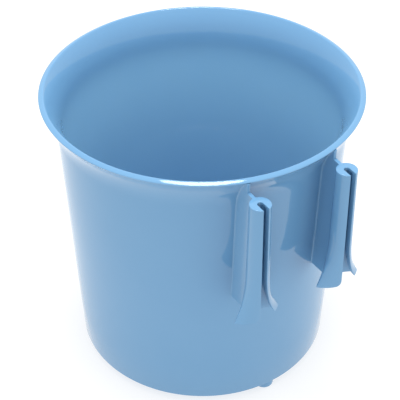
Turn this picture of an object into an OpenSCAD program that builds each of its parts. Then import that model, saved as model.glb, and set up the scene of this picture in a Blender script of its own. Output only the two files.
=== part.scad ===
// Feed bucket for a horse box: a round, flared tub of thick moulded plastic that hangs by two
// slotted clips. Each clip stands off the wall on an upright rib, is slit down its outer side and
// opens downwards into a bell mouth, so the tub can be slid down onto an upright bar. Three short
// feet carry the tub when it stands on the floor.
// The axis of the tub is the Z axis, the feet stand on Z = 0 and the clips face -Y.

/* [Tub] */
// Outer diameter of the tub across its lip
rim_d = 300; // [240:1:380]
// Height of the tub, from its underside to the outer edge of its lip
tub_h = 280; // [220:1:340]
// How far the lip stands out beyond the line of the wall
lip_out = 13; // [10:0.1:20]
// How far the wall leans outwards from upright, in degrees
wall_lean = 2.4; // [0.5:0.05:4]
// Thickness of the wall and of the flare
wall_t = 5; // [3:0.1:7]
// Thickness of the tub's floor
floor_t = 5; // [3:0.1:8]
// Radius of the bend that carries the wall out into the lip
flare_r = 53; // [40:1:75]
// Slope of the lip's end face, down towards the outside, in degrees
lip_slope = 24; // [0:1:40]
// Radius in the corner between the wall and the floor, inside
corner_r = 10; // [4:1:20]
// Radius around the bottom edge, outside
base_edge_r = 2; // [1:0.5:4]

/* [Hanging clips] */
// Distance between the axes of the two clips
clip_pitch = 88.5; // [60:0.5:110]
// Distance of the clip axes beyond the outer edge of the lip
clip_gap = 17; // [14:0.5:30]
// Diameter of a clip at its top
clip_d = 18.8; // [16:0.1:24]
// How much one side of a clip leans outwards as it runs down, in degrees
clip_draft = 0.7; // [0:0.1:1]
// Distance from the lip's outer edge down to the top of a clip
clip_drop = 10.5; // [6:0.5:20]
// Length of a clip
clip_l = 124; // [100:1:150]
// Width of the slot down the outer side of a clip and through its top
slot_w = 5.3; // [4:0.1:7]
// Diameter of the bore inside a clip
bore_d = 9.8; // [8:0.1:12]
// Thickness of the plate that closes the top of the bore, but for the slot
clip_cap = 2.8; // [1:0.1:5]

/* [Clip mouth] */
// Height of the part of a clip that flares
mouth_h = 49; // [30:1:60]
// Radius of the curve along which both sides of a clip flare
mouth_r = 99; // [80:1:140]
// Radius of the curve along which the bore widens
bore_flare_r = 108; // [100:1:160]
// Thickness of the clip's front wall in the mouth
mouth_wall = 3.2; // [2:0.1:4]
// How far the front wall's right part still reaches over the bore at the bottom of the mouth
mouth_ledge = 1; // [0.5:0.1:1.2]
// Radius around the free corner of the mouth's front wall
mouth_corner_r = 5; // [2:0.5:7]

/* [Ribs] */
// Thickness of a rib
rib_t = 3.2; // [2:0.1:5]
// How far a rib runs on below the mouth of its clip
rib_drop = 7; // [0:0.5:15]

/* [Feet] */
// Diameter of a foot
foot_d = 18.8; // [12:0.1:26]
// Height of a foot
foot_h = 8; // [4:0.5:14]
// Distance from the bottom edge of the tub in to the side of a foot
foot_inset = 1; // [0:0.5:20]
// Radius around the lower edge of a foot
foot_edge_r = 2.5; // [0.5:0.5:3.5]

/* [Hidden] */
$fn = 96;

// Colour of the moulded plastic
plastic = [0.50, 0.70, 0.87];

// How far a cutting shape runs past what it cuts
over = 1;

// Tub. Its half section is drawn in a frame that stands on the bottom edge of the wall and
// leans with it: x points out of the wall and y runs up along it.
rim_r = rim_d / 2;
base_r = rim_r - lip_out - tub_h * tan(wall_lean);
base_z = foot_h;
lip_z = base_z + tub_h;
lip_x = (rim_r - base_r) * cos(wall_lean) - tub_h * sin(wall_lean);
lip_y = (rim_r - base_r) * sin(wall_lean) + tub_h * cos(wall_lean);
// Length of the straight wall, up to the bend that meets the lip's outer edge
wall_l = lip_y - sqrt(2 * flare_r * lip_x - lip_x * lip_x);

// Clips and ribs
clip_x = clip_pitch / 2;
// Distance from the tub's axis to the outer edge of the lip, in the plane of a rib
rib_reach = sqrt(rim_r * rim_r - clip_x * clip_x);
clip_reach = rib_reach + clip_gap;
clip_top = lip_z - clip_drop;
clip_bottom = clip_top - clip_l;
clip_top_r = clip_d / 2;
clip_low_r = clip_top_r + (clip_l - mouth_h) * tan(clip_draft);
slot_r = slot_w / 2;
bore_r = bore_d / 2;
// What the rings of a clip leave inside the slot, how far they stand clear of the bore and the
// slot in the mouth, and the height over which one turns into the other
slot_stock = 0.3;
mouth_relief = 0.1;
mouth_lead = 2;
// Steps around the back of a clip, and around its front from either side to the slot
back_steps = 24;
front_steps = 6;
// Steps up the mouth's free corner, and from there up to the end of the flares
corner_steps = 5;
mouth_steps = 10;
ring_z = concat(
    [for (k = [0 : corner_steps - 1]) mouth_corner_r * (1 - cos(90 * k / corner_steps))],
    [for (k = [0 : mouth_steps]) mouth_corner_r + (mouth_h - mouth_corner_r) * k / mouth_steps],
    [mouth_h + mouth_lead, clip_l]);

// Feet. They stand a third of a turn apart, and the front one lies between the clips.
foot_r = foot_d / 2;
foot_reach = base_r - foot_inset - foot_r;
front_angle = -90;
foot_step = 120;

// How far a curve of radius r, which starts out upright, leans out at distance h along its height
function flare(r, h) = h <= 0 ? 0 : r - sqrt(r * r - h * h);

// Centre of a circle of radius r that touches the wall from inside, depth below its outer face,
// and touches a floor at height z from above
function touch_y(r, depth, z) = (z - base_z + r - (depth + r) * sin(wall_lean)) / cos(wall_lean);
function touch_x(r, depth, z) =
    base_r - (depth + r) * cos(wall_lean) + touch_y(r, depth, z) * sin(wall_lean);

// What lies between a circle that touches wall and floor and the corner beyond it
module corner_section(r, depth, z) {
    translate([touch_x(r, depth, z), z]) difference() {
        translate([0, -over]) square([r + over, over + r * (1 - sin(wall_lean))]);
        translate([0, r]) circle(r);
    }
}

// Half section of all that lies within the tub's outer face, or within a face set in from it
module tub_section(inset) {
    intersection() {
        square([2 * rim_r, 2 * lip_z]);
        translate([base_r, base_z]) rotate(-wall_lean) {
            translate([-2 * rim_r, -base_z]) square([2 * rim_r - inset, base_z + wall_l]);
            difference() {
                translate([-2 * rim_r, wall_l]) square([2 * rim_r + flare_r, flare_r]);
                translate([flare_r, wall_l]) circle(flare_r + inset);
            }
        }
    }
}

// All that lies above the lip's end face
module above_lip() {
    translate([rim_r, lip_z]) rotate(-lip_slope) translate([-rim_r, 0]) square([2 * rim_r, rim_r]);
}

module shell_section() {
    difference() {
        tub_section(0);
        square([2 * rim_r, base_z]);
        difference() {
            tub_section(wall_t);
            square([2 * rim_r, base_z + floor_t]);
            corner_section(corner_r, wall_t, base_z + floor_t);
        }
        corner_section(base_edge_r, 0, base_z);
        above_lip();
    }
}

module bucket_shell() {
    color(plastic) rotate_extrude() shell_section();
}

// Half width and half depth of a clip at height z above its bottom
function clip_half_d(z) = clip_top_r + (clip_l - max(z, mouth_h)) * tan(clip_draft);
function clip_half_w(z) = clip_half_d(z) + flare(mouth_r, mouth_h - z);
// Half width of the bore in the mouth
function bore_half_w(z) = bore_r + mouth_relief + flare(bore_flare_r, mouth_h - z);
// How far the front wall's right part reaches over the bore: what the slot leaves at the top of
// the mouth, and mouth_ledge at its bottom
function ledge(z) =
    let (full = bore_r - slot_r, down = (mouth_h - z) / mouth_h) full - (full - mouth_ledge) * down * down;
// The slot's edges in the mouth
function slot_right(z) = bore_half_w(z) - ledge(z);
function slot_left(z) = slot_r + mouth_relief + flare(mouth_corner_r, mouth_corner_r - z);

// The section of a clip is a circle that grows into a lens: two arcs that meet in points half a
// width w away from the middle, each rising to d. This is the point of such an arc at angle a.
function arc_r(w, d) = (w * w + d * d) / (2 * d);
function arc_end(w, d) = asin(min(1, w / arc_r(w, d)));
function arc_point(w, d, a) = [arc_r(w, d) * sin(a), d - arc_r(w, d) * (1 - cos(a))];

// Points around a lens of half width w, front depth df and back depth db, anticlockwise from x =
// right on its front, around its back, to x = -left on its front
function lens(w, df, db, right, left, z) =
    let (end = arc_end(w, df), to_right = asin(right / arc_r(w, df)), to_left = asin(left / arc_r(w, df)))
    concat(
        [for (k = [front_steps : -1 : 1])
            let (p = arc_point(w, df, end + (to_right - end) * k / front_steps)) [p[0], -p[1], z]],
        [for (k = [0 : back_steps])
            let (p = arc_point(w, db, arc_end(w, db) * (1 - 2 * k / back_steps))) [p[0], p[1], z]],
        [for (k = [1 : front_steps])
            let (p = arc_point(w, df, end + (to_left - end) * k / front_steps)) [-p[0], -p[1], z]]);

function reversed(list) = [for (i = [len(list) - 1 : -1 : 0]) list[i]];

// One ring of a clip: around its outside from the slot's right edge to its left edge, then back
// around the bore. Above the mouth the bore and the slot are cut later, out of what this leaves.
function clip_ring(z) =
    let (w = clip_half_w(z), d = clip_half_d(z), above = z > mouth_h, r = slot_r - slot_stock,
         right = above ? r : slot_right(z), left = above ? r : slot_left(z),
         bw = above ? r : bore_half_w(z), bd = above ? r : min(bw, d - mouth_wall),
         bb = above ? r : bore_r + mouth_relief,
         back = above ? slot_stock : 0)
    concat(
        lens(w, d, d, right, left, z),
        reversed(lens(bw, bd, bb, right - back, left - back, z)));

// One ring of a clip's outside, closed across the slot
function closed_ring(z) =
    let (half = [for (k = [0 : back_steps])
        arc_point(clip_half_w(z), clip_half_d(z),
                  arc_end(clip_half_w(z), clip_half_d(z)) * (1 - 2 * k / back_steps))])
    concat([for (p = half) [p[0], p[1], z]],
           [for (k = [1 : back_steps - 1]) [-half[k][0], -half[k][1], z]]);

// End face of a loft: a strip of triangles between the first half of a loop of n points and the
// second. The diagonals change over half way, because the slot's edges lie in line with the bore.
function end_face(n) = [for (a = [0 : n / 2 - 2])
    let (b = a + 1, c = n - 2 - a, d = n - 1 - a)
    each a < n / 4 ? [[a, b, d], [b, c, d]] : [[a, b, c], [a, c, d]]];

// Closed solid through a stack of rings, lowest ring first, each an anticlockwise loop of points
module loft(rings) {
    n = len(rings[0]);
    top = (len(rings) - 1) * n;
    polyhedron(
        points = [for (r = rings) each r],
        faces = concat(
            end_face(n),
            [for (f = end_face(n)) [top + f[2], top + f[1], top + f[0]]],
            [for (k = [0 : len(rings) - 2], i = [0 : n - 1])
                let (a = k * n + i, b = k * n + (i + 1) % n) each [[a, a + n, b], [b, a + n, b + n]]]));
}

// The round bore from the mouth up to the cap, and the slot from the mouth up through the cap
module bore() {
    translate([0, 0, mouth_h]) cylinder(h = clip_l - mouth_h - clip_cap, r = bore_r);
    translate([0, 0, mouth_h]) linear_extrude(clip_l) {
        circle(slot_r);
        translate([-slot_r, -clip_d]) square([slot_w, clip_d]);
    }
}

module clip() {
    color(plastic) translate([0, -clip_reach, clip_bottom]) difference() {
        loft([for (z = ring_z) clip_ring(z)]);
        bore();
    }
}

// Upright plate between the wall and a clip, in the plane X = 0 of the clip's frame
module rib_plate() {
    // The plate starts well inside the tub and ends on the clip's axis; both are cut away from it
    start_y = base_r / 2;
    back_y = clip_reach - clip_low_r;
    foot_z = clip_bottom - rib_drop;
    translate([rib_t / 2, 0, 0]) rotate([90, 0, -90]) linear_extrude(rib_t)
        polygon([[start_y, lip_z], [rib_reach, lip_z], [rib_reach, clip_top],
                 [clip_reach, clip_top], [clip_reach, clip_bottom], [back_y, clip_bottom],
                 [back_y, foot_z], [start_y, foot_z]]);
}

module rib(side) {
    color(plastic) difference() {
        translate([side * clip_x, 0, 0]) rib_plate();
        rotate_extrude() tub_section(0);
        translate([side * clip_x, -clip_reach, clip_bottom]) loft([for (z = ring_z) closed_ring(z)]);
    }
}

module foot(angle) {
    color(plastic) rotate(angle) translate([foot_reach, 0, 0]) rotate_extrude() {
        translate([0, foot_edge_r]) square([foot_r, foot_h - foot_edge_r]);
        square([foot_r - foot_edge_r, foot_h]);
        intersection() {
            translate([foot_r - foot_edge_r, foot_edge_r]) circle(foot_edge_r);
            square([foot_r, foot_h]);
        }
    }
}

bucket_shell();
rib(-1);  // left_rib
rib(1);  // right_rib
translate([-clip_x, 0, 0]) clip();  // left_clip
translate([clip_x, 0, 0]) clip();  // right_clip
foot(front_angle);  // front_foot
foot(front_angle - foot_step);  // left_foot
foot(front_angle + foot_step);  // right_foot
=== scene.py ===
"""Feed bucket for a horse box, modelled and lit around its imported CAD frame.

The tub, its two ribs, its two slotted hanging clips and its three feet are each modelled here in
Blender and take the place of a CAD node. Everything is in metres, with the tub's axis on Z, the
feet on Z = 0 and the clips facing -Y.
"""

import math

import bpy
from bpy.props import FloatProperty, FloatVectorProperty, IntProperty, PointerProperty, StringProperty
from bpy.types import Operator, Panel, PropertyGroup
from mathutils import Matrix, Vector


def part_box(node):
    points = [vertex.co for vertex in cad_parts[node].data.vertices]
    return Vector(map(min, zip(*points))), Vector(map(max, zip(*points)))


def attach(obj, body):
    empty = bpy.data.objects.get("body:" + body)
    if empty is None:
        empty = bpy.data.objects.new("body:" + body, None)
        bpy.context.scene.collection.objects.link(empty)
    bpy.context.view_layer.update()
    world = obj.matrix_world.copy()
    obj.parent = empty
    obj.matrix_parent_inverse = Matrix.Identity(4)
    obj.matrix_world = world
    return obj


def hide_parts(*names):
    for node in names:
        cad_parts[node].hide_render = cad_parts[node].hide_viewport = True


bl_info = {
    "name": "Feed bucket",
    "version": (1, 0, 0),
    "blender": (4, 5, 0),
    "location": "View3D > Sidebar > Feed bucket",
    "description": "Builds a plastic feed bucket with hanging clips, and the studio it stands in",
    "category": "Add Mesh",
}

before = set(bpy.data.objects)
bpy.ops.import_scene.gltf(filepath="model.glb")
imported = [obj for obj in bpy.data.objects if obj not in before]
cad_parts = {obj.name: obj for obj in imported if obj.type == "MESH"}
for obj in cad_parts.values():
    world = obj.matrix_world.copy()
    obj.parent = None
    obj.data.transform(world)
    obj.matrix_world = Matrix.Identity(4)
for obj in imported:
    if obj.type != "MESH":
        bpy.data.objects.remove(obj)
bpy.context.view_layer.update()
SHELL_LOW, SHELL_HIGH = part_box("bucket_shell")
CLIP_LOW, CLIP_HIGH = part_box("right_clip")
FOOT_LOW, FOOT_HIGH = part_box("front_foot")

MM = 0.001

# Points nearer to each other than this are made one point
SAME_POINT = 0.001 * MM
# How far a point may lie off a plane, or off a ring, and still be taken as on it
ON_PLANE = 0.01 * MM
ON_RING = 0.05 * MM
# Width of the flat ring around a disc, which keeps the disc's shading even
FLAT_RING = 1 * MM

# How finely the shapes are divided, where no setting says so
WALL_STEPS = 6
EDGE_SEGMENTS = 4
CORNER_SEGMENTS = 8
FOOT_SEGMENTS = 6
MOUTH_CORNER_STEPS = 4
RIB_LIP_STEPS = 6
RIB_CLIP_STEPS = 24
RIB_EDGE_STEPS = 4
FILLET_STEPS = 5
# Halvings of a range in the search for a point of the flare
HALVINGS = 40

# Height between a clip's cap and the last full ring of its bore
UNDER_CAP = 0.6 * MM
# How far a rib starts below the edge of the lip
UNDER_LIP = 1.2 * MM
# Height of the steps in the front of a rib, above and below its clip
RIB_SHELF = 0.3 * MM
# The most of a rib's depth that its fillet takes
FILLET_SHARE = 0.4

# Sizes of the plastic's clouds of pigment, patches of duller skin and humps of orange peel
CLOUD_SIZE = 45 * MM
PATCH_SIZE = 14 * MM
HUMP_SIZE = 3 * MM
# Each kind of plastic: its material's name, how many times the set roughness, and its humps' height
PLASTICS = {
    "gloss": ("polished_moulded_polypropylene", 1, 0.004 * MM),
    "dull": ("dull_moulded_polypropylene", 5, 0.01 * MM),
}

# The studio's fixed sizes in metres, the camera's sensor in millimetres, and the studio's colours
TABLE_SIZE = 12
OVERHEAD_HEIGHT = 1.8
OVERHEAD_SIZE = 0.7
FILL_DEPTH = 28 * MM
FILL_SIZE = 0.2
NEAREST_SEEN = 0.01
SENSOR_WIDTH = 36
TABLE_COLOUR = "#9FA0A1"
GLOW_COLOUR = "#FFFFFF"
FILL_COLOUR = "#FFE9C8"


# ---------------------------------------------------------------- sizes and colours


def length(name, description, default):
    """A size that is set in metres and shown in the user's unit of length."""
    return FloatProperty(
        name=name, description=description, default=default, min=0, unit="LENGTH", subtype="DISTANCE"
    )


def angle(name, description, degrees):
    """An angle, given here in degrees and kept in radians."""
    return FloatProperty(
        name=name, description=description, default=math.radians(degrees), unit="ROTATION", subtype="ANGLE"
    )


def steps(name, description, default, least):
    """A number of steps that a shape is divided into."""
    return IntProperty(name=name, description=description, default=default, min=least)


def hex_colour(name, description, code):
    """A colour as an sRGB hex code."""
    return StringProperty(name=name, description=description, default=code)


def strength(name, description, default):
    """A strength of light."""
    return FloatProperty(name=name, description=description, default=default, min=0)


class TubSizes(PropertyGroup):
    rim_radius: length("Rim radius", "From the axis to the outer edge of the lip", SHELL_HIGH.x)
    base_z: length("Base height", "Height of the tub's underside above the floor", SHELL_LOW.z)
    height: length("Height", "From the underside to the outer edge of the lip", 280 * MM)
    lip_out: length("Lip overhang", "How far the lip stands out beyond the line of the wall", 13 * MM)
    lean: angle("Wall lean", "How far the wall leans outwards from upright", 2.4)
    wall: length("Wall", "Thickness of the wall", 5 * MM)
    floor: length("Floor", "Thickness of the tub's floor", 5 * MM)
    flare_radius: length("Flare radius", "Bend that carries the wall out into the lip", 53 * MM)
    lip_slope: angle("Lip slope", "Slope of the lip's end face, down towards the outside", 24)
    corner_radius: length("Corner radius", "Between the wall and the floor, inside", 10 * MM)
    base_round: length("Base rounding", "Around the bottom edge, outside", 2 * MM)
    lip_round: length("Lip rounding", "Around both edges of the lip's end face", 1.1 * MM)
    sides: steps("Sides", "Steps around the tub", 192, 24)
    bend_steps: steps("Bend steps", "Steps along the flare", 14, 3)


class ClipSizes(PropertyGroup):
    top_radius: length("Top radius", "Outer radius of a clip at its top", 9.4 * MM)
    draft: angle("Draft", "How much a clip's side leans outwards as it runs down", 0.7)
    slot: length("Slot", "Width of the slot", 5.3 * MM)
    bore: length("Bore", "Radius of the bore behind the slot", 4.9 * MM)
    cap: length("Cap", "Thickness of the slotted plate that closes the top of the bore", 2.8 * MM)
    mouth_height: length("Mouth height", "Height of the part that flares", 49 * MM)
    mouth_curve: length("Mouth curve", "Radius along which the sides flare", 99 * MM)
    bore_curve: length("Bore curve", "Radius along which the bore widens", 108 * MM)
    mouth_wall: length("Mouth wall", "Thickness of the front wall in the mouth", 3.2 * MM)
    ledge: length("Ledge", "How far the front wall's right part covers the bore at the bottom", 1 * MM)
    corner_radius: length("Corner radius", "Around the free corner of the mouth's front wall", 5 * MM)
    edge_round: length("Edge rounding", "Around every free edge", 0.3 * MM)
    front_steps: steps("Front steps", "From either side to the slot", 10, 3)
    back_steps: steps("Back steps", "Around the back of a clip", 40, 8)
    flare_steps: steps("Flare steps", "Steps down the mouth", 14, 3)


class RibSizes(PropertyGroup):
    thickness: length("Thickness", "Thickness of a rib", 3.2 * MM)
    drop: length("Drop", "How far a rib runs on below its clip", 7 * MM)
    clip_hold: length("Hold", "How far a rib reaches into the back of its clip", 2 * MM)
    root: length("Root", "How far the root of a rib reaches into the wall", 0.9 * MM)
    fillet: length("Fillet", "Radius of the fillet between a rib and the wall", 1.3 * MM)
    edge_round: length("Edge rounding", "Around a rib's free edges", 0.4 * MM)


class FootSizes(PropertyGroup):
    radius: length("Radius", "Radius of a foot", (FOOT_HIGH.x - FOOT_LOW.x) / 2)
    edge_round: length("Edge rounding", "Around the lower edge", 2.5 * MM)
    sides: steps("Sides", "Steps around a foot", 64, 16)


class FinishSettings(PropertyGroup):
    plastic: hex_colour("Plastic", "Colour of the plastic, sRGB hex", "#6C9BC1")
    mottle: hex_colour("Mottle", "Colour where the pigment lies thicker, sRGB hex", "#6898BF")
    roughness: FloatProperty(
        name="Roughness",
        description="Roughness of the polished plastic",
        default=0.05,
        min=0,
        max=1,
        subtype="FACTOR",
    )


class StudioSettings(PropertyGroup):
    camera_place: FloatVectorProperty(
        name="Camera",
        description="Where the camera stands",
        default=(-0.4732, -0.7596, 0.8655),
        subtype="XYZ",
        unit="LENGTH",
    )
    elevation: angle("Elevation", "How far the camera looks down", 38.43)
    azimuth: angle("Azimuth", "Turn of the camera around Z, from looking along +Y", -31.93)
    roll: angle("Roll", "Turn of the camera around its line of sight", 0.2)
    lens: FloatProperty(
        name="Lens", description="Focal length in mm", default=104.17, subtype="DISTANCE_CAMERA"
    )
    world_light: strength("Room light", "Strength of the white room", 1.0)
    lamp_light: strength("Overhead light", "Power of the overhead light in watts", 20)
    fill_light: strength("Fill light", "Power in watts of the soft light inside the tub", 0.22)
    floor_glow: strength("Floor glow", "Strength of the light that the table gives off", 0.7)


# ---------------------------------------------------------------- modelling helpers


def deselect():
    """Leaves edit mode, if it is on, and deselects everything."""
    if bpy.context.object and bpy.context.object.mode != "OBJECT":
        bpy.ops.object.mode_set(mode="OBJECT")
    bpy.ops.object.select_all(action="DESELECT")


def activate(piece):
    """Makes piece the only selected object, and the active one."""
    deselect()
    piece.select_set(True)
    bpy.context.view_layer.objects.active = piece


def new_disc(name, radius, sides, place):
    """Adds a filled disc and opens it in edit mode with its face selected."""
    deselect()
    bpy.ops.mesh.primitive_circle_add(vertices=sides, radius=radius, fill_type="NGON", location=place)
    piece = bpy.context.object
    piece.name = piece.data.name = name
    bpy.ops.object.mode_set(mode="EDIT")
    bpy.ops.mesh.select_mode(type="VERT")
    bpy.ops.mesh.select_all(action="SELECT")
    return piece


def extrude(move):
    """Extrudes what is selected in edit mode."""
    bpy.ops.mesh.extrude_region_move(TRANSFORM_OT_translate={"value": move})


def scale(factors, centre):
    """Scales what is selected in edit mode from a centre."""
    bpy.ops.transform.resize(value=factors, center_override=centre)


def select_where(piece, test, kind="VERT"):
    """Selects, in edit mode, the points, edges or faces whose every corner passes the test."""
    bpy.ops.mesh.select_mode(type=kind)
    bpy.ops.mesh.select_all(action="DESELECT")
    bpy.ops.object.mode_set(mode="OBJECT")
    mesh = piece.data
    passed = [test(piece.matrix_world @ point.co) for point in mesh.vertices]
    elements = {"VERT": mesh.vertices, "EDGE": mesh.edges, "FACE": mesh.polygons}[kind]
    for element in elements:
        corners = [element.index] if kind == "VERT" else element.vertices
        element.select = all(passed[i] for i in corners)
    if not any(element.select for element in elements):
        raise RuntimeError(f"nothing to select on {piece.name}")
    bpy.ops.object.mode_set(mode="EDIT")


def close_up(smooth_angle=30):
    """Ends the modelling of the active piece: points merged, normals outwards, smooth but for real edges,
    and its place applied to its mesh."""
    if bpy.context.object.mode != "EDIT":
        bpy.ops.object.mode_set(mode="EDIT")
    bpy.ops.mesh.select_mode(type="VERT")
    bpy.ops.mesh.select_all(action="SELECT")
    bpy.ops.mesh.remove_doubles(threshold=SAME_POINT)
    bpy.ops.mesh.normals_make_consistent(inside=False)
    bpy.ops.object.mode_set(mode="OBJECT")
    bpy.ops.object.transform_apply(location=True, rotation=True, scale=True)
    bpy.ops.object.shade_smooth_by_angle(angle=math.radians(smooth_angle))


def loft(name, rings):
    """A closed solid through rings of as many points each. Its ends are closed by a strip of quads
    between the first half of a ring's points and the second."""
    count = len(rings[0])
    last = (len(rings) - 1) * count
    strip = [(k, k + 1, count - 2 - k, count - 1 - k) for k in range(count // 2 - 1)]
    faces = strip + [tuple(last + k for k in reversed(face)) for face in strip]
    for low in range(0, last, count):
        for k in range(count):
            after = (k + 1) % count
            faces.append((low + k, low + count + k, low + count + after, low + after))
    mesh = bpy.data.meshes.new(name)
    mesh.from_pydata([point for ring in rings for point in ring], [], faces)
    piece = bpy.data.objects.new(name, mesh)
    bpy.context.scene.collection.objects.link(piece)
    activate(piece)
    return piece


def round_edges(piece, width, segments=3, sharper_than=35):
    """Rounds every edge of piece that turns more than so many degrees."""
    activate(piece)
    modifier = piece.modifiers.new("Round", "BEVEL")
    modifier.width = width
    modifier.segments = segments
    modifier.limit_method = "ANGLE"
    modifier.angle_limit = math.radians(sharper_than)
    modifier.use_clamp_overlap = False
    modifier.miter_outer = "MITER_ARC"
    bpy.ops.object.modifier_apply(modifier=modifier.name)


def copy_moved(piece, name, move):
    """Copies piece with a mesh of its own, moved in its mesh."""
    twin = piece.copy()
    twin.data = piece.data.copy()
    twin.name = twin.data.name = name
    bpy.context.scene.collection.objects.link(twin)
    activate(twin)
    twin.location = move
    bpy.ops.object.transform_apply(location=True, rotation=True, scale=True)
    return twin


def flare(radius, distance):
    """How far a curve of this radius, which starts out straight, leans out after this distance."""
    return 0 if distance <= 0 else radius - math.sqrt(radius**2 - distance**2)


def stand_in(piece, node, material):
    """Puts piece in the place of the CAD node, in its material."""
    piece.data.materials.clear()
    piece.data.materials.append(material)
    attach(piece, "root")
    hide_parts(node)


# ---------------------------------------------------------------- materials


def linear(code):
    """Turns an sRGB hex colour such as #6FA6DC into linear RGBA."""
    parts = [int(code[i : i + 2], 16) / 255 for i in (1, 3, 5)]
    return (*[p / 12.92 if p <= 0.04045 else ((p + 0.055) / 1.055) ** 2.4 for p in parts], 1)


def add_node(tree, kind, settings=None, inputs=None, links=None):
    """Adds a node with its settings and input values, and links its inputs to other nodes' outputs."""
    node = tree.nodes.new(kind)
    for name, value in (settings or {}).items():
        setattr(node, name, value)
    for name, value in (inputs or {}).items():
        node.inputs[name].default_value = value
    for name, socket in (links or {}).items():
        tree.links.new(socket, node.inputs[name])
    return node


def new_material(name):
    """A material with an empty node tree."""
    material = bpy.data.materials.new(name)
    material.use_nodes = True
    material.node_tree.nodes.clear()
    return material


def moulded_polypropylene(name, finish, roughness, peel):
    """Polypropylene injection moulded in a polished tool. To the eye it is one even light blue with a
    sharp, clear gloss; close by, the pigment lies in faint flow clouds and the skin has a slight
    orange peel, which softens the gloss unevenly."""
    material = new_material(name)
    tree = material.node_tree
    place = add_node(tree, "ShaderNodeTexCoord").outputs["Object"]
    # Flow clouds of pigment
    clouds = add_node(
        tree, "ShaderNodeTexNoise", inputs={"Scale": 1 / CLOUD_SIZE, "Detail": 3, "Roughness": 0.55},
        links={"Vector": place},
    )
    colour = add_node(
        tree, "ShaderNodeMix", {"data_type": "RGBA"},
        {"A": linear(finish.plastic), "B": linear(finish.mottle)}, {"Factor": clouds.outputs["Fac"]},
    )
    # Patches of skin from a fifth less rough to a quarter rougher
    patches = add_node(
        tree, "ShaderNodeTexNoise", inputs={"Scale": 1 / PATCH_SIZE, "Detail": 2, "Roughness": 0.5},
        links={"Vector": place},
    )
    dullness = add_node(
        tree, "ShaderNodeMapRange",
        inputs={"From Min": 0.3, "From Max": 0.7, "To Min": roughness * 0.8, "To Max": roughness * 1.25},
        links={"Value": patches.outputs["Fac"]},
    )
    # Humps of orange peel
    humps = add_node(
        tree, "ShaderNodeTexNoise", inputs={"Scale": 1 / HUMP_SIZE, "Detail": 1, "Roughness": 0.4},
        links={"Vector": place},
    )
    skin = add_node(
        tree, "ShaderNodeBump", inputs={"Strength": 1.0, "Distance": peel},
        links={"Height": humps.outputs["Fac"]},
    )
    shader = add_node(
        tree, "ShaderNodeBsdfPrincipled", inputs={"IOR": 1.49},
        links={
            "Base Color": colour.outputs["Result"],
            "Roughness": dullness.outputs["Result"],
            "Normal": skin.outputs["Normal"],
        },
    )
    add_node(tree, "ShaderNodeOutputMaterial", links={"Surface": shader.outputs["BSDF"]})
    return material


def frosted_acrylic(glow):
    """Opal acrylic of a light table, frosted by sanding: grey by itself, matt, and lit white from below."""
    material = new_material("frosted_acrylic")
    tree = material.node_tree
    shader = add_node(
        tree, "ShaderNodeBsdfPrincipled",
        inputs={
            "Base Color": linear(TABLE_COLOUR), "Roughness": 0.9, "IOR": 1.49, "Specular IOR Level": 0.0,
            "Emission Color": linear(GLOW_COLOUR), "Emission Strength": glow,
        },
    )
    add_node(tree, "ShaderNodeOutputMaterial", links={"Surface": shader.outputs["BSDF"]})
    return material


def plastic(kind):
    """The material of one kind of piece, made when it is first asked for."""
    name, times, peel = PLASTICS[kind]
    if name not in bpy.data.materials:
        finish = bpy.context.scene.bucket_finish
        moulded_polypropylene(name, finish, finish.roughness * times, peel)
    return bpy.data.materials[name]


# ---------------------------------------------------------------- the tub


class TubLine:
    """The tub's half section. It is worked out in a frame that stands on the bottom edge of the wall
    and leans with it: x points out of the wall, and y runs up along it."""

    def __init__(self, tub):
        self.tub = tub
        self.base_radius = tub.rim_radius - tub.lip_out - tub.height * math.tan(tub.lean)
        out = tub.rim_radius - self.base_radius
        lip_x = out * math.cos(tub.lean) - tub.height * math.sin(tub.lean)
        lip_y = out * math.sin(tub.lean) + tub.height * math.cos(tub.lean)
        self.wall_length = lip_y - math.sqrt(2 * tub.flare_radius * lip_x - lip_x**2)
        self.outer_turn = math.asin((lip_y - self.wall_length) / tub.flare_radius)
        # The inner face ends where it meets the lip's end face, whose normal in this frame is (nx, ny)
        tilt = tub.lip_slope - tub.lean
        nx, ny = math.sin(tilt), math.cos(tilt)
        reach = (lip_x - tub.flare_radius) * nx + (lip_y - self.wall_length) * ny
        self.inner_turn = tilt + math.asin(reach / (tub.flare_radius + tub.wall))

    def place(self, x, y):
        """Radius and height of a point of the leaning frame."""
        lean = self.tub.lean
        return (
            self.base_radius + x * math.cos(lean) + y * math.sin(lean),
            self.tub.base_z - x * math.sin(lean) + y * math.cos(lean),
        )

    def bend(self, turn, depth):
        """A point of the flare, turned so far from the wall, at a depth below the outer face."""
        radius = self.tub.flare_radius + depth
        return self.place(
            self.tub.flare_radius - radius * math.cos(turn), self.wall_length + radius * math.sin(turn)
        )

    def radius_at(self, height):
        """Outer radius of the tub at a height above the floor."""
        low, high = 0.0, self.outer_turn
        radius, top = self.bend(0, 0)
        if height <= top:
            return self.base_radius + (height - self.tub.base_z) * math.tan(self.tub.lean)
        for _ in range(HALVINGS):
            middle = (low + high) / 2
            radius, z = self.bend(middle, 0)
            low, high = (middle, high) if z < height else (low, middle)
        return radius

    def points(self):
        """The section from the bottom edge up the outside, over the lip and down to the floor."""
        tub, steps = self.tub, self.tub.bend_steps
        floor_y = (tub.floor - tub.wall * math.sin(tub.lean)) / math.cos(tub.lean)
        up = [self.place(0, self.wall_length * k / WALL_STEPS) for k in range(1, WALL_STEPS)]
        over = [self.bend(self.outer_turn * k / steps, 0) for k in range(steps + 1)]
        back = [self.bend(self.inner_turn * k / steps, tub.wall) for k in range(steps, -1, -1)]
        down = [
            self.place(-tub.wall, floor_y + (self.wall_length - floor_y) * k / WALL_STEPS)
            for k in range(WALL_STEPS - 1, -1, -1)
        ]
        return up + over + back + down


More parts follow.
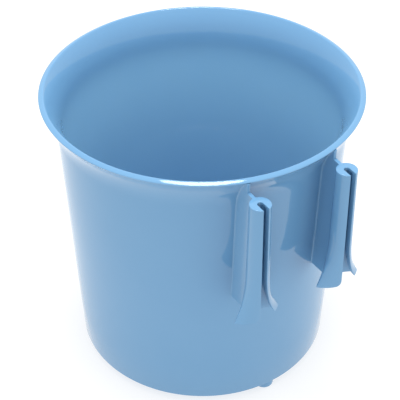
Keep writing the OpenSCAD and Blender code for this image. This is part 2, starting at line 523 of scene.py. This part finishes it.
class FEEDBUCKET_OT_tub(Operator):
    """Model the tub, from its underside up over the lip and down to its floor"""

    bl_idname = "feedbucket.tub"
    bl_label = "Tub"

    def execute(self, context):
        tub = context.scene.bucket_tub
        line = TubLine(tub)
        radius, height = line.place(0, 0)
        piece = new_disc("tub", radius, tub.sides, (0, 0, height))
        section = line.points()
        for next_radius, next_height in section:
            extrude((0, 0, next_height - height))
            scale((next_radius / radius, next_radius / radius, 1), (0, 0, next_height))
            radius, height = next_radius, next_height
        lip = WALL_STEPS - 1 + tub.bend_steps
        roundings = (
            (line.place(0, 0), tub.base_round, EDGE_SEGMENTS),
            (section[lip], tub.lip_round, EDGE_SEGMENTS),
            (section[lip + 1], tub.lip_round, EDGE_SEGMENTS),
            (section[-1], tub.corner_radius, CORNER_SEGMENTS),
        )
        for (ring_radius, ring_height), rounding, segments in roundings:
            self.round_ring(piece, ring_radius, ring_height, rounding, segments)
        for disc_height in (tub.base_z, tub.base_z + tub.floor):
            select_where(piece, lambda co: abs(co.z - disc_height) < ON_PLANE, "FACE")
            bpy.ops.mesh.inset(thickness=FLAT_RING)
        close_up()
        stand_in(piece, "bucket_shell", plastic("gloss"))
        return {"FINISHED"}

    def round_ring(self, piece, radius, height, rounding, segments):
        """Rounds the edge that runs around the tub at this radius and height."""
        select_where(
            piece,
            lambda co: abs(co.z - height) < ON_RING and abs(math.hypot(co.x, co.y) - radius) < ON_RING,
            "EDGE",
        )
        bpy.ops.mesh.bevel(offset=rounding, segments=segments)


# ---------------------------------------------------------------- the clips


class ClipLine:
    """Where a clip stands, and how wide and deep it and its bore are at a height above its bottom."""

    def __init__(self, clip):
        self.clip = clip
        self.x = (CLIP_LOW.x + CLIP_HIGH.x) / 2
        self.top, self.bottom = CLIP_HIGH.z, CLIP_LOW.z
        self.height = self.top - self.bottom
        self.y = CLIP_HIGH.y - self.depth(0)

    def depth(self, up):
        """From the axis to the front or back of the clip."""
        above = max(up, self.clip.mouth_height)
        return self.clip.top_radius + (self.height - above) * math.tan(self.clip.draft)

    def width(self, up):
        """From the axis to either side of the clip."""
        return self.depth(up) + flare(self.clip.mouth_curve, self.clip.mouth_height - up)

    def bore_width(self, up):
        """From the axis to either side of the bore."""
        return self.clip.bore + flare(self.clip.bore_curve, self.clip.mouth_height - up)

    def bore_front(self, up):
        """From the axis to the front of the bore."""
        if up >= self.clip.mouth_height:
            return self.clip.bore
        return min(self.bore_width(up), self.depth(up) - self.clip.mouth_wall)

    def slot_left(self, up):
        """From the axis to the slot's left edge."""
        clip = self.clip
        return clip.slot / 2 + flare(clip.corner_radius, clip.corner_radius - up)

    def slot_right(self, up):
        """From the axis to the slot's right edge, which at the bottom covers only the ledge of the bore."""
        clip = self.clip
        full = clip.bore - clip.slot / 2
        down = max(0, clip.mouth_height - up) / clip.mouth_height
        return self.bore_width(up) - full + (full - clip.ledge) * down**2


# A clip's section turns from a round tube into a lens with a free lip. Cutting that out of faceted
# tubes leaves slivers along the edges, so its rings are laid out one by one and lofted.
class FEEDBUCKET_OT_clips(Operator):
    """Model one slotted clip with its bell mouth, and copy it for the other side"""

    bl_idname = "feedbucket.clips"
    bl_label = "Clips"

    def execute(self, context):
        self.clip = context.scene.bucket_clip
        self.line = line = ClipLine(self.clip)
        piece = loft("right_hanging_clip", [self.ring(up) for up in self.levels()])
        round_edges(piece, self.clip.edge_round)
        close_up()
        twin = copy_moved(piece, "left_hanging_clip", (-2 * line.x, 0, 0))
        stand_in(piece, "right_clip", plastic("gloss"))
        stand_in(twin, "left_clip", plastic("gloss"))
        return {"FINISHED"}

    def levels(self):
        """Heights of the rings above the clip's bottom, closer around the mouth's free corner."""
        clip = self.clip
        steps = clip.flare_steps
        corner = [
            clip.corner_radius * (1 - math.cos(math.pi / 2 * k / MOUTH_CORNER_STEPS))
            for k in range(MOUTH_CORNER_STEPS)
        ]
        flaring = clip.mouth_height - clip.corner_radius
        mouth = [clip.corner_radius + flaring * k / steps for k in range(steps + 1)]
        under_cap = self.line.height - clip.cap
        return corner + mouth + [under_cap - UNDER_CAP, under_cap, self.line.height]

    def ring(self, up):
        """One ring: around the outside from the slot's right edge to its left, and back around the bore,
        or in the cap around the slot's round closed end."""
        clip, line = self.clip, self.line
        slot = (line.slot_right(up), line.slot_left(up))
        outside = self.lens(line.width(up), line.depth(up), line.depth(up), *slot)
        if up > line.height - clip.cap - ON_PLANE:
            inside = self.slot_end()
        else:
            inside = self.lens(line.bore_width(up), line.bore_front(up), clip.bore, *slot)
        z = line.bottom + up
        return [(line.x + x, line.y + y, z) for x, y in outside + inside[::-1]]

    def lens(self, width, front, back, right, left):
        """Two arcs that meet in points at +-width, open in front between x = right and x = -left."""

        def arc(depth, turn):
            radius = (width**2 + depth**2) / (2 * depth)
            return radius * math.sin(turn), depth - radius * (1 - math.cos(turn))

        def turn_at(depth, x):
            return math.asin(min(1, x * 2 * depth / (width**2 + depth**2)))

        steps, back_steps = self.clip.front_steps, self.clip.back_steps
        side, rear = turn_at(front, width), turn_at(back, width)
        to_right, to_left = turn_at(front, right) - side, turn_at(front, left) - side
        on_right = [arc(front, side + to_right * k / steps) for k in range(steps, 0, -1)]
        around = [arc(back, rear * (1 - 2 * k / back_steps)) for k in range(back_steps + 1)]
        on_left = [arc(front, side + to_left * k / steps) for k in range(1, steps + 1)]
        return [(x, -y) for x, y in on_right] + around + [(-x, -y) for x, y in on_left]

    def slot_end(self):
        """The slot through the cap, with as many points as a lens."""
        clip = self.clip
        half = clip.slot / 2
        mouth = math.sqrt(clip.bore**2 - half**2)
        steps, back_steps = clip.front_steps, clip.back_steps
        side = [-mouth * k / steps for k in range(steps, 0, -1)]
        turns = [math.pi / 2 * (1 - 2 * k / back_steps) for k in range(back_steps + 1)]
        around = [(half * math.sin(turn), half * math.cos(turn)) for turn in turns]
        return [(half, y) for y in side] + around + [(-half, y) for y in reversed(side)]


# ---------------------------------------------------------------- the ribs


# A rib's fillets touch its flat sides and the tub's curved face along the whole flare, so its
# sections are worked out level by level and lofted.
class FEEDBUCKET_OT_ribs(Operator):
    """Model the upright plate that carries each clip, with a fillet where it grows out of the wall"""

    bl_idname = "feedbucket.ribs"
    bl_label = "Ribs"

    def execute(self, context):
        self.rib = context.scene.bucket_rib
        self.tub = TubLine(context.scene.bucket_tub)
        self.line = ClipLine(context.scene.bucket_clip)
        for side, word in ((1, "right"), (-1, "left")):
            rings = [self.ring(level, front, side) for level, front in self.levels()]
            piece = loft(f"{word}_clip_rib", rings)
            close_up()
            stand_in(piece, f"{word}_rib", plastic("gloss"))
        return {"FINISHED"}

    def levels(self):
        """Levels from under the lip down, each with the y of the plate's front: flush with the lip above
        the clip, inside the clip beside it, and behind the clip below it."""
        line, rib = self.line, self.rib
        lip_y = -math.sqrt(SHELL_HIGH.x**2 - line.x**2)
        start = SHELL_LOW.z + self.tub.tub.height - UNDER_LIP
        step = line.top + RIB_SHELF
        above = [(start + (step - start) * k / RIB_LIP_STEPS, lip_y) for k in range(RIB_LIP_STEPS + 1)]
        beside = []
        for k in range(RIB_CLIP_STEPS + 1):
            z = line.top + (line.bottom - line.top) * k / RIB_CLIP_STEPS
            beside.append((z, line.y + line.depth(z - line.bottom) - rib.clip_hold))
        below = [(z, line.y + line.depth(0)) for z in (line.bottom - RIB_SHELF, line.bottom - rib.drop)]
        return above + beside + below

    def ring(self, level, front, side):
        """A section of the plate: a rounded front corner, the flat side, the fillet and the root in the
        wall, then the same on the other side."""
        radius = self.tub.radius_at(level)
        span = -math.sqrt(radius**2 - self.line.x**2) - front
        fillet = min(self.rib.fillet, FILLET_SHARE * span)
        points = self.half_ring(radius, front, fillet, 1) + self.half_ring(radius, front, fillet, -1)[::-1]
        return [(side * x, y, level) for x, y in points]

    def half_ring(self, radius, front, fillet, turn):
        """The half of a section on the side that turn gives, 1 or -1, from the front to the root."""
        edge = self.rib.edge_round
        face = self.line.x + turn * self.rib.thickness / 2
        turns = [math.pi / 2 * k / RIB_EDGE_STEPS for k in range(RIB_EDGE_STEPS + 1)]
        points = [
            (face - turn * edge * (1 - math.sin(a)), front + edge * (1 - math.cos(a))) for a in turns
        ]
        # The fillet's centre lies off the face by its radius, and as far off the tub's face
        centre_x = face + turn * fillet
        centre_y = -math.sqrt((radius + fillet) ** 2 - centre_x**2)
        start = math.pi if turn > 0 else 0
        end = math.atan2(-centre_y, -centre_x)
        sweep = (end - start + math.pi) % (2 * math.pi) - math.pi
        for k in range(FILLET_STEPS + 1):
            a = start + sweep * k / FILLET_STEPS
            points.append((centre_x + fillet * math.cos(a), centre_y + fillet * math.sin(a)))
        deeper = 1 - self.rib.root / radius
        points.append((points[-1][0] * deeper, points[-1][1] * deeper))
        return points


# ---------------------------------------------------------------- the feet


class FEEDBUCKET_OT_feet(Operator):
    """Model one round foot and copy it to each foot's place"""

    bl_idname = "feedbucket.feet"
    bl_label = "Feet"

    def execute(self, context):
        foot = context.scene.bucket_foot
        centre = (FOOT_LOW + FOOT_HIGH) / 2
        piece = new_disc("front_stub_foot", foot.radius, foot.sides, (centre.x, centre.y, FOOT_LOW.z))
        extrude((0, 0, FOOT_HIGH.z - FOOT_LOW.z))
        select_where(piece, lambda co: co.z < ON_PLANE, "EDGE")
        bpy.ops.mesh.bevel(offset=foot.edge_round, segments=FOOT_SEGMENTS)
        select_where(piece, lambda co: co.z < ON_PLANE, "FACE")
        bpy.ops.mesh.inset(thickness=FLAT_RING)
        close_up()
        for side in ("left", "right"):
            low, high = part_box(f"{side}_foot")
            twin = copy_moved(piece, f"{side}_stub_foot", (low + high) / 2 - centre)
            stand_in(twin, f"{side}_foot", plastic("dull"))
        stand_in(piece, "front_foot", plastic("dull"))
        return {"FINISHED"}


# ---------------------------------------------------------------- the studio


class FEEDBUCKET_OT_stage(Operator):
    """Set up the light table, the room's light, the overhead and fill lights and the camera"""

    bl_idname = "feedbucket.stage"
    bl_label = "Studio"

    def execute(self, context):
        scene = context.scene
        studio = scene.bucket_studio
        scene.view_settings.view_transform = "Standard"
        self.table(studio)
        self.room(scene, studio)
        self.lamp("overhead_light", (0, 0, OVERHEAD_HEIGHT), OVERHEAD_SIZE, studio.lamp_light)
        # Inside the tub, and seen neither directly nor in the gloss
        fill = self.lamp("fill_light", (0, 0, SHELL_HIGH.z - FILL_DEPTH), FILL_SIZE, studio.fill_light)
        fill.data.color = linear(FILL_COLOUR)[:3]
        fill.visible_camera = fill.visible_glossy = False
        self.camera(scene, studio)
        return {"FINISHED"}

    def table(self, studio):
        """The glowing table that the bucket stands on."""
        deselect()
        bpy.ops.mesh.primitive_plane_add(size=TABLE_SIZE, location=(0, 0, 0))
        table = bpy.context.object
        table.name = table.data.name = "light_table"
        table.data.materials.append(frosted_acrylic(studio.floor_glow))

    def room(self, scene, studio):
        """The white room, which lights the bucket from all sides."""
        world = bpy.data.worlds.new("white_room")
        scene.world = world
        world.use_nodes = True
        background = world.node_tree.nodes["Background"]
        background.inputs["Color"].default_value = (1, 1, 1, 1)
        background.inputs["Strength"].default_value = studio.world_light

    def lamp(self, name, place, size, power):
        """A round area light that shines straight down."""
        deselect()
        bpy.ops.object.light_add(type="AREA", location=place)
        lamp = bpy.context.object
        lamp.name = name
        lamp.data.shape = "DISK"
        lamp.data.size = size
        lamp.data.energy = power
        return lamp

    def camera(self, scene, studio):
        """The camera, looking down at the bucket from its front left."""
        deselect()
        bpy.ops.object.camera_add(
            location=studio.camera_place,
            rotation=(math.pi / 2 - studio.elevation, studio.roll, studio.azimuth),
        )
        camera = bpy.context.object
        camera.name = "camera"
        camera.data.lens = studio.lens
        camera.data.sensor_width = SENSOR_WIDTH
        camera.data.clip_start = NEAREST_SEEN
        scene.camera = camera


# ---------------------------------------------------------------- the add-on


class FEEDBUCKET_PT_panel(Panel):
    """Lists the operators that build the bucket, and the settings they read"""

    bl_idname = "FEEDBUCKET_PT_panel"
    bl_label = "Feed bucket"
    bl_space_type = "VIEW_3D"
    bl_region_type = "UI"
    bl_category = "Feed bucket"

    def draw(self, context):
        for operator in OPERATORS:
            self.layout.operator(operator.bl_idname)
        for name in SETTINGS:
            box = self.layout.box()
            group = getattr(context.scene, name)
            for key in group.__annotations__:
                box.prop(group, key)


OPERATORS = (
    FEEDBUCKET_OT_tub,
    FEEDBUCKET_OT_clips,
    FEEDBUCKET_OT_ribs,
    FEEDBUCKET_OT_feet,
    FEEDBUCKET_OT_stage,
)
SETTINGS = {
    "bucket_tub": TubSizes,
    "bucket_clip": ClipSizes,
    "bucket_rib": RibSizes,
    "bucket_foot": FootSizes,
    "bucket_finish": FinishSettings,
    "bucket_studio": StudioSettings,
}


def register():
    for group in SETTINGS.values():
        bpy.utils.register_class(group)
    for operator in OPERATORS:
        bpy.utils.register_class(operator)
    bpy.utils.register_class(FEEDBUCKET_PT_panel)
    for name, group in SETTINGS.items():
        setattr(bpy.types.Scene, name, PointerProperty(type=group))


def unregister():
    for name in SETTINGS:
        delattr(bpy.types.Scene, name)
    bpy.utils.unregister_class(FEEDBUCKET_PT_panel)
    for operator in reversed(OPERATORS):
        bpy.utils.unregister_class(operator)
    for group in reversed(SETTINGS.values()):
        bpy.utils.unregister_class(group)


def main():
    """Builds everything."""
    register()
    bpy.ops.feedbucket.tub()
    bpy.ops.feedbucket.clips()
    bpy.ops.feedbucket.ribs()
    bpy.ops.feedbucket.feet()
    bpy.ops.feedbucket.stage()


if __name__ == "__main__":
    main()
